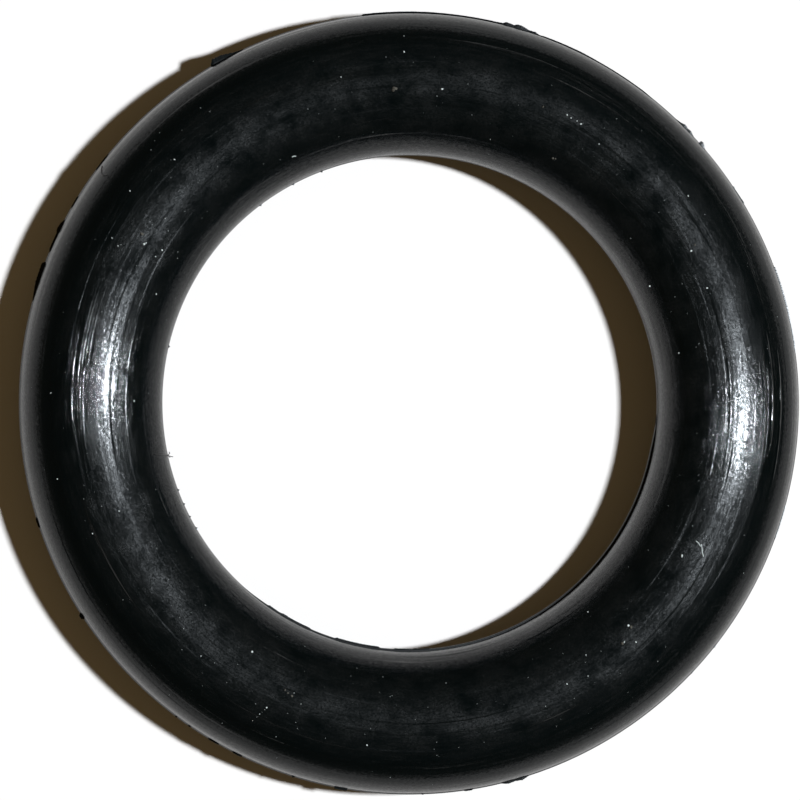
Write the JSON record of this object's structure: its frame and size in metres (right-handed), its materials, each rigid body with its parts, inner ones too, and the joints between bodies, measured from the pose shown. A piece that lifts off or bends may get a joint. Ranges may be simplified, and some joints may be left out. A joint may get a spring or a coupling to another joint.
{
  "type": "o-ring",
  "caption": "Moulded black rubber sealing ring of round section, with a thin trimmed parting-line land round its bore and outside and a few torn shreds of flash.",
  "frame": {"origin": "centre of the ring, on its axis and its middle plane", "axes": "+Z along the ring's axis; +X and +Y to the right and up of the ring as it is seen from above"},
  "size_m": [0.0144, 0.0145, 0.0026],
  "materials": {
    "rubber": "black nitrile rubber, satin, with fine concentric mould marks and a little dust"
  },
  "bodies": {
    "root": {"o_ring": "rubber"}
  },
  "joints": []
}
